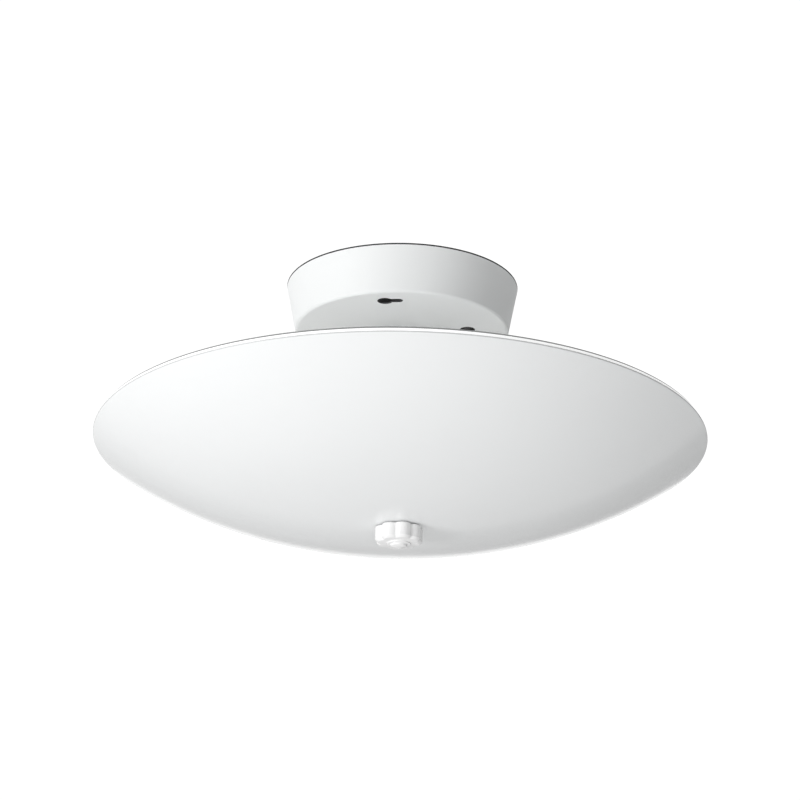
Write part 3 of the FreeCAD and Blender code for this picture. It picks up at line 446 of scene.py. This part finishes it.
# the edge is ground square and its two arrises are rounded off
for R, sgn in ((FO, -1), (FI, 1)):
    c = on_flank(R + sgn * arris, th - arris / R)
    if R == FI:
        prof.append(on_flank(FI + 1.6, th))
    for j in range(6):
        w = math.pi / 2 * (j + 0.5) / 6
        if R == FO:
            d = Vector((math.sin(th), -math.cos(th))) * math.cos(w) + Vector((math.cos(th), math.sin(th))) * math.sin(w)
        else:
            d = Vector((math.cos(th), math.sin(th))) * math.cos(w) + Vector((-math.sin(th), math.cos(th))) * math.sin(w)
        prof.append((c[0] + d.x * arris, c[1] + d.y * arris))
prof += [on_flank(FI, th - arris / FI + (tj - th + arris / FI) * i / nstep) for i in range(nstep)]
prof += [on_mid(MI, tj + (t0i - tj) * i / nstep) for i in range(nstep + 1)]
dish = lathe("shade_glass", prof, opal, seg=384, sharp=60)
for mt in (grey_outer_arris, painted_shade_arris, glowing_edge_glass):
    dish.data.materials.append(mt)
corner_o, corner_i = on_flank(FO, th), on_flank(FI, th)
for p in dish.data.polygons:
    c = p.center / MM
    r = math.hypot(c.x, c.y)
    to_o, to_i = math.hypot(r - corner_o[0], c.z - corner_o[1]), math.hypot(r - corner_i[0], c.z - corner_i[1])
    # outer arris: grey band of painted shade
    if to_o < 0.42:
        p.material_index = 1
    # inner arris: dark band of painted shade
    elif to_i < 1.45:
        p.material_index = 2
    # cut edge: glass edge with a painted glow
    elif to_o < THICK and to_i < THICK:
        p.material_index = 3
put(dish, "shade", "glass_dish")

# ------------------------------------------------------------------- the canopy
c_lo, c_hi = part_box("canopy")
TOP_R, DEPTH = c_hi[0] / MM, -c_lo[2] / MM
BOT_R, SHEET = 55.95, 0.9
slope = (TOP_R - BOT_R) / DEPTH
wx = SHEET * math.sqrt(1 + slope * slope)
top_in = TOP_R - wx
floor = -DEPTH + SHEET
canopy_prof = rounded([
    (2.3, -DEPTH), (BOT_R, -DEPTH, 1.7), (TOP_R - 0.85 * slope, -0.85), (TOP_R, 0, 0.22), (top_in, 0, 0.22),
    (top_in + floor * slope, floor, 0.8), (2.3, floor),
])
canopy = lathe("ceiling_canopy", canopy_prof, enamel, seg=256, sharp=50)
cutters = []


def polar(r, deg):
    return (r * math.sin(math.radians(deg)), -r * math.cos(math.radians(deg)))


def keyhole(rc, a0, a1):
    """Round entry and curved slot as one outline."""
    e, s = 3.97, 2.2
    cx, cy = polar(rc, a0)
    half = math.degrees(math.asin(min(1, s / e)))
    pts = []
    # the entry's circle, leaving a mouth toward the slot
    tangent = a0  # the direction along the circle at a0 is (cos a0, sin a0)
    for j in range(49):
        w = half + (360 - 2 * half) * j / 48
        ang = math.radians(tangent + w)
        pts.append((cx + e * math.cos(ang), cy + e * math.sin(ang)))
    start = a0 + math.degrees(math.sqrt(e * e - s * s) / rc) + 0.4
    for j in range(8):
        pts.append(polar(rc + s, start + (a1 - start) * j / 7))
    ex, ey = polar(rc, a1)
    for j in range(1, 16):
        w = -90 + 180 * j / 16
        ang = math.radians(a1 + w)
        pts.append((ex + s * math.cos(ang), ey + s * math.sin(ang)))
    for j in range(8):
        pts.append(polar(rc - s, a1 + (start - a1) * j / 7))
    return pts


for rc, a0, a1 in ((44.45, -11.4, -2.3), (34.925, 80.0, 91.0)):
    for h in (0, 180):
        cutters.append(prism("key_cut", keyhole(rc, a0 + h, a1 + h), -DEPTH - 3, floor + 3))
b_lo, b_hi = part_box("wire_bushing")
bx, by = (b_lo[0] + b_hi[0]) / 2 / MM, (b_lo[1] + b_hi[1]) / 2 / MM
n_lo, n_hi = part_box("ground_screw")
gx, gy = (n_lo[0] + n_hi[0]) / 2 / MM, (n_lo[1] + n_hi[1]) / 2 / MM
for x, y, r in ((bx, by, 4.95), (gx, gy, 2.35), (8.0, 0.0, 1.6), (-8.0, 0.0, 1.6)):
    cutters.append(prism("hole_cut", [(x + r * math.cos(2 * math.pi * j / 40), y + r * math.sin(2 * math.pi * j / 40))
                                      for j in range(40)], -DEPTH - 3, floor + 3))
cut(canopy, cutters)
bevel(canopy, 0.40, angle=50, seg=3, sharp=50)
canopy.data.materials.clear()
for mt in (enamel, cut_edge_and_shade, painted_shade_interior, painted_highlight_rim):
    canopy.data.materials.append(mt)
for p in canopy.data.polygons:
    c = p.center / MM
    r = math.hypot(c.x, c.y)
    inward = (p.normal.x * c.x + p.normal.y * c.y) / max(r, 1e-6) < -0.2
    if c.z > -0.84:
        p.material_index = 1                  # cut top edge, near-black: partly the sheet's edge, partly painted shade along the ceiling line
    elif r < BOT_R - 2.2:
        if p.normal.z > 0.5 or c.z > -DEPTH + 0.42:
            p.material_index = 2              # upper face and the holes' walls: painted shade
        elif p.normal.z > -0.985:
            p.material_index = 3              # painted highlight: bright glossy ring round each hole
    elif p.normal.z > 0.3 or inward:
        p.material_index = 2                  # inside of the wall: painted shade
put(canopy, "root", "canopy")

# --------------------------------------------------------------------- the knob
kz0, kz1 = zbox("knob")
RING, LOBE, PHASE = 7.8, 4.6, 13.5
wall_low = kz1 - 6.9


def lobed(t):
    """Outline of the lobes at angle t from +X."""
    a = math.degrees(t) + 90 - PHASE          # angle from the front lobe
    a = (a + 22.5) % 45 - 22.5
    a = math.radians(a)
    r = RING * math.cos(a) + math.sqrt(max(LOBE ** 2 - (RING * math.sin(a)) ** 2, 0))
    # the moulding's valleys have a small radius
    g = RING * math.cos(math.radians(22.5)) + math.sqrt(LOBE ** 2 - (RING * math.sin(math.radians(22.5))) ** 2)
    return max(r, g + 0.10)


OUT = RING + LOBE
kprof = rounded([
    (4.5, kz1 - 0.9), (8.9, kz1 - 0.9), (8.9, kz1, 0.2), (OUT, kz1, 0.6), (OUT, wall_low, 0.4), (OUT - 1.6, wall_low - 1.2, 0.4),
    (6.25, wall_low - 1.2, 0.15), (6.15, wall_low - 1.8, 0.25), (4.5, wall_low - 1.8, 0.2), (3.95, kz0 + 0.5, 0.4), (1.8, kz0 + 0.05, 0.8), (0, kz0),
], closed=False)


def knob_radius(r, a, t):
    # full lobes at the wall, fading to round below the bevel
    if r <= 6.4 or (a > kz1 - 1.0 and r <= 9.0):
        return r
    d = OUT - r
    return max(lobed(t) - d * 1.0, 6.3 if a < kz1 - 1.0 else 9.0)


# the brass insert is moulded into a pocket
ins_lo, ins_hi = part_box("knob_insert")
pocket_r, pocket_z = ins_hi[0] / MM + 0.02, ins_lo[2] / MM - 0.02
knob = lathe("finial_knob", [(0, pocket_z), (pocket_r, pocket_z), (pocket_r, kz1 - 0.9)] + kprof, knob_mat, seg=384, closed=False, sharp=55, radius=knob_radius)
put(knob, "knob", "knob")

# ------------------------------------------------------------ insulation pad
pad_node = NODES["insulation_pad"]
pad = bpy.data.objects.new("felt_pad", pad_node.data.copy())
bpy.context.scene.collection.objects.link(pad)
m = pad.modifiers.new("remesh", "REMESH")
m.mode = "VOXEL"
m.voxel_size = 0.0009
m = pad.modifiers.new("soften", "SMOOTH")
m.factor = 0.5
m.iterations = 6
apply_mods(pad)
bm = bmesh.new()
bm.from_mesh(pad.data)
bm.normal_update()
p_lo, p_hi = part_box("insulation_pad")
for v in bm.verts:
    f = noise.fractal(v.co * 220.0, 1.0, 2.0, 4) * 0.00035 + noise.noise(v.co * 60.0) * 0.0004
    v.co += v.normal * (f - 0.0003)
    v.co.z = min(max(v.co.z, p_lo[2] + 0.00002), p_hi[2])
bm.to_mesh(pad.data)
bm.free()
pad.data.materials.clear()
pad.data.materials.append(felt)
for p in pad.data.polygons:
    p.use_smooth = True
put(pad, "root", "insulation_pad")

# --------------------------------------------------------------- threaded rod
PITCH = 0.79375
rz0, rz1 = zbox("threaded_rod")


def helix_rod(name, z0, z1, r_out, depth, pitch, mat, where=None, hand=1, cols=28, per=6, ends=0.5):
    rows = int((z1 - z0) / pitch * per)
    verts, faces = [], []
    where = where or axis_z()
    for i in range(rows + 1):
        z = z0 + (z1 - z0) * i / rows
        lim = min((z - z0), (z1 - z)) + (r_out - depth) + 0.2
        for k in range(cols):
            t = 2 * math.pi * k / cols
            ph = (z / pitch - hand * t / (2 * math.pi)) % 1.0
            w = abs(ph * 2 - 1)
            w = min(max((w - 0.12) / 0.76, 0), 1)
            r = r_out - depth * w
            verts.append([c * MM for c in where(min(r, lim), z, t)])
    for i in range(rows):
        for k in range(cols):
            faces.append([i * cols + k, i * cols + (k + 1) % cols, (i + 1) * cols + (k + 1) % cols, (i + 1) * cols + k])
    faces.append(list(range(cols))[::-1])
    faces.append([rows * cols + k for k in range(cols)])
    return make(name, verts, faces, mat, True, 70)


rod = helix_rod("rod_8_32", rz0, rz1, 2.08, 0.42, PITCH, zinc)
put(rod, "root", "threaded_rod")

# ------------------------------------------------------- lampholders and lamps
AX = -76.0
E26 = 25.4 / 7
for side, sx in (("left", -1), ("right", 1)):
    at = axis_x(sx, AX)
    # porcelain body: base, flared shoulder, barrel with two grooves
    hp = rounded([
        (0, 14.0), (14.0, 14.0, 0.8), (14.0, 17.6, 1.0), (18.3, 22.0, 1.2), (18.3, 30.0, 0.2), (17.8, 30.4, 0.2), (17.8, 31.4, 0.2), (18.3, 31.8, 0.2),
        (18.3, 46.0, 0.2), (17.9, 46.4, 0.2), (17.9, 47.2, 0.2), (18.3, 47.6, 0.2), (18.3, 50.0, 1.2),
        (14.4, 50.0, 0.9), (14.4, 20.0, 0.6), (0, 20.0),
    ], closed=False)
    h = lathe("porcelain_holder_" + side, hp, porcelain, seg=160, where=at, closed=True, sharp=50)
    tools = []
    for y in (4.0, 8.0):
        x = 16.0 * sx
        z0 = AX + math.sqrt(196 - y * y) - 4.2
        tools.append(prism("lead_cut", [(x + 1.15 * math.cos(2 * math.pi * j / 24), y + 1.15 * math.sin(2 * math.pi * j / 24))
                                        for j in range(24)], z0, z0 + 9))
    cut(h, tools)
    bevel(h, 0.2, angle=60, seg=2, sharp=50)
    h.data.materials.clear()
    h.data.materials.append(porcelain)
    put(h, "root", "lampholder_" + side)

    # rolled-thread brass shell, seen inside the mouth
    def wave(a, t):
        ph = (a / E26 - sx * 0 - t / (2 * math.pi)) if sx > 0 else (a / E26 + t / (2 * math.pi))
        return 0.5 + 0.5 * math.cos(2 * math.pi * ph)

    def shell_r(r, a, t, wave=wave):
        if a < 22.5 or a > 46.3 or r < 13:
            return r
        return r + 0.28 * wave(a, t)
    n = 90
    sp = [(10.5, 20.0), (13.72, 20.0)] + [(13.72, 20.6 + (46.9 - 20.6) * i / n) for i in range(n + 1)]
    sp += [(13.58, 47.0), (13.42, 46.9)] + [(13.42, 46.8 - (46.8 - 20.6) * i / n) for i in range(n + 1)] + [(10.5, 20.5)]
    s = lathe("threaded_shell_" + side, sp, brass, seg=96, where=at, sharp=50, radius=shell_r)
    put(s, "root", "screw_shell_" + side)

    # the lamp's screw cap with its rolled thread
    def cap_r(r, a, t, wave=wave):
        if r < 12.7:
            return r
        k = min(max((a - 27.0) / 1.5, 0), 1) * min(max((46.5 - a) / 1.5, 0), 1)
        return r - 0.75 * k * (1 - wave(a, t))
    cp = [(10.95, 25.3)] + rounded([(11.3, 25.2), (13.0, 26.8, 0.9), (13.0, 27.4)], closed=False)
    cp += [(13.0, 27.6 + (48.6 - 27.6) * i / 120) for i in range(121)] + [(12.9, 48.9), (12.6, 49.0), (12.46, 48.9), (12.46, 46.0), (12.2, 28.0), (10.7, 26.2)]
    c = lathe("screw_cap_" + side, cp, alu, seg=128, where=at, sharp=50, radius=cap_r)
    put(c, "lamp_" + side, "lamp_%s_base" % side)

    ip = rounded([(4.55, 23.5), (5.6, 23.5, 0.3), (10.9, 25.2, 0.3), (10.6, 26.2, 0.2), (4.55, 25.4)])
    i_ = lathe("vitrite_ring_" + side, ip, vitrite, seg=64, where=at)
    put(i_, "lamp_" + side, "lamp_%s_insulator" % side)
    tp = [(0, 22.0), (1.2, 22.06), (2.4, 22.3), (3.4, 22.75), (4.1, 23.3), (4.4, 23.9), (4.4, 24.5), (0, 24.5)]
    t_ = lathe("contact_button_" + side, tp, solder, seg=48, where=at, closed=False)
    put(t_, "lamp_%s_carriage" % side, "lamp_%s_tip" % side)

    # A15 bulb: round end, tapered neck that runs into the cap
    bt = math.radians(21.1)
    nt_ = (24 * math.cos(bt), 87 - 24 * math.sin(bt))
    outer = [(12.4, 46.6), (12.4, 49.2), (12.55, 51.0), (13.05, 54.0)]
    outer += [(13.05 + (nt_[0] - 13.05) * (j / 24), 54 + (nt_[1] - 54) * (j / 24)) for j in range(1, 24)]
    outer += [(24 * math.cos(-bt + (math.pi / 2 + bt) * j / 60), 87 + 24 * math.sin(-bt + (math.pi / 2 + bt) * j / 60)) for j in range(60)]
    outer += [(0, 111)]
    # soften the hollow curve of the neck
    for _ in range(60):
        for j in range(2, 26):
            r0, a0_ = outer[j]
            outer[j] = (0.5 * r0 + 0.25 * (outer[j - 1][0] + outer[j + 1][0]), a0_)
    inner = []
    for j, (r, a) in enumerate(outer[:-1]):
        q0, q1 = outer[max(j - 1, 0)], outer[j + 1]
        d = Vector((q1[0] - q0[0], q1[1] - q0[1])).normalized()
        inner.append((max(r - d.y * 0.9, 0), a + d.x * 0.9))
    inner.append((0, 110.1))
    b = lathe("frosted_bulb_" + side, outer + inner[::-1], frost, seg=128, where=at, sharp=60)
    put(b, "lamp_" + side, "lamp_%s_bulb" % side)

# --------------------------------------------------------- carried-over pieces
finish_node("socket_bracket", strap_mat, 0.25)
finish_node("bracket_rivets", alu, 0.1)
finish_node("lock_washer", zinc, 0.08)
for nm in ("rod_nut_upper", "rod_nut_lower", "stop_nut"):
    finish_node(nm, zinc, 0.08)
finish_node("stop_washer", zinc, 0.12)
finish_node("wire_bushing", nylon, 0.12)
finish_node("ground_screw", green, 0.1)
finish_node("holder_screws", zinc, 0.1)
for side in ("left", "right"):
    finish_node("center_contact_" + side, brass, 0.08)
    finish_node("lead_black_" + side, lead_black)
    finish_node("lead_white_" + side, lead_white)
finish_node("wire_connectors", orange, 0.1)
finish_node("gasket_upper", rubber, 0.2)
finish_node("knob_washer", rubber, 0.1)
finish_node("knob_insert", brass, 0.1)

# ------------------------------------------------------- floor, light, camera
fm, nt, p = material("studio_floor")
tc = nt.nodes.new("ShaderNodeTexCoord")
n1 = node(nt, "ShaderNodeTexNoise", Scale=1.5, Detail=3.0)
nt.links.new(tc.outputs["Object"], n1.inputs["Vector"])
cr = ramp(nt, n1.outputs["Fac"], [(0.3, 0.60), (0.7, 0.625)])
nt.links.new(cr.outputs["Color"], p.inputs["Base Color"])
p.inputs["Roughness"].default_value = 0.8
bpy.ops.mesh.primitive_plane_add(size=16, location=(0, 0, -2.3))
fl = bpy.context.object
fl.name = "studio_floor"
fl.data.materials.append(fm)

sc = bpy.context.scene
sc.view_settings.view_transform = "Standard"
sc.view_settings.look = "None"
w = bpy.data.worlds.new("studio")
sc.world = w
w.use_nodes = True
nt = w.node_tree
bg = nt.nodes["Background"]
tc = nt.nodes.new("ShaderNodeTexCoord")
sp = nt.nodes.new("ShaderNodeSeparateXYZ")
nt.links.new(tc.outputs["Generated"], sp.inputs[0])
# soft studio surround: each side of it has its own brightness
LIGHT = {"all": 0.0, "left": 0.28, "right": -0.30, "front": 0.0, "back": 0.46, "up": 1.30, "key": 30.3, "fill": 9.0}


def side(axis, sign):
    """How far a direction points to one side, from 0 to 1."""
    k = node(nt, "ShaderNodeMath", operation="MULTIPLY", use_clamp=True)
    nt.links.new(sp.outputs[axis], k.inputs[0])
    k.inputs[1].default_value = sign
    return k.outputs[0]


total = None
for axis, sign, key in (("X", -1.0, "left"), ("X", 1.0, "right"), ("Y", -1.0, "front"), ("Y", 1.0, "back"), ("Z", 1.0, "up")):
    k = node(nt, "ShaderNodeMath", operation="MULTIPLY_ADD")
    nt.links.new(side(axis, sign), k.inputs[0])
    k.inputs[1].default_value = LIGHT[key]
    if total is None:
        k.inputs[2].default_value = LIGHT["all"]
    else:
        nt.links.new(total, k.inputs[2])
    total = k.outputs[0]
# a white screen behind the light, no wider than it needs to be
bz = node(nt, "ShaderNodeMath", operation="MULTIPLY")
nt.links.new(sp.outputs["Z"], bz.inputs[0])
bz.inputs[1].default_value = math.sin(math.radians(20.5))
by_ = node(nt, "ShaderNodeMath", operation="MULTIPLY_ADD")
nt.links.new(sp.outputs["Y"], by_.inputs[0])
by_.inputs[1].default_value = math.cos(math.radians(20.5))
nt.links.new(bz.outputs[0], by_.inputs[2])
mr = node(nt, "ShaderNodeMapRange", interpolation_type="SMOOTHSTEP")
for key, val in (("From Min", 0.9560), ("From Max", 0.9740), ("To Min", 0.0), ("To Max", 1.0)):
    mr.inputs[key].default_value = val
nt.links.new(by_.outputs[0], mr.inputs["Value"])
lowest = node(nt, "ShaderNodeMath", operation="MAXIMUM")
nt.links.new(total, lowest.inputs[0])
lowest.inputs[1].default_value = 0.0
mx = node(nt, "ShaderNodeMix", data_type="FLOAT")
nt.links.new(mr.outputs["Result"], mx.inputs["Factor"])
nt.links.new(lowest.outputs[0], mx.inputs[2])
mx.inputs[3].default_value = 1.06
nt.links.new(mx.outputs[0], bg.inputs["Strength"])
bg.inputs["Color"].default_value = (1, 1, 1, 1)


def area(name, loc, target, size, power, color=(1, 1, 1)):
    l = bpy.data.lights.new(name, "AREA")
    l.shape = "RECTANGLE"
    l.size, l.size_y = size
    l.energy = power
    l.color = color
    o = bpy.data.objects.new(name, l)
    sc.collection.objects.link(o)
    o.location = loc
    o.rotation_euler = (Vector(target) - Vector(loc)).to_track_quat("-Z", "Y").to_euler()
    return o


area("key_softbox", (-1.7, -1.5, -0.7), (0, 0, -0.09), (0.9, 0.9), LIGHT["key"])
area("fill_softbox", (0.2, -2.2, -1.3), (0, 0, -0.09), (1.4, 1.0), LIGHT["fill"])

EL, DIST, ROLL = 19.81, 1.5595, -0.84
LENS = 36.0 * 3006.0 / 800.0
f = Vector((0, math.cos(math.radians(EL)), math.sin(math.radians(EL))))
rim_c = Vector((0, 0, -0.08765))
cam = bpy.data.cameras.new("camera")
co = bpy.data.objects.new("camera", cam)
sc.collection.objects.link(co)
cam.lens = LENS
cam.sensor_width = 36
cam.shift_y = (444.9 - 400) / 800.0
cam.shift_x = -0.1 / 800.0
co.location = rim_c - f * DIST
q = f.to_track_quat("-Z", "Y")
co.rotation_mode = "QUATERNION"
co.rotation_quaternion = (q.to_matrix().to_4x4() @ Matrix.Rotation(math.radians(-ROLL), 4, "Z")).to_quaternion()
cam.clip_start, cam.clip_end = 0.05, 50
sc.camera = co
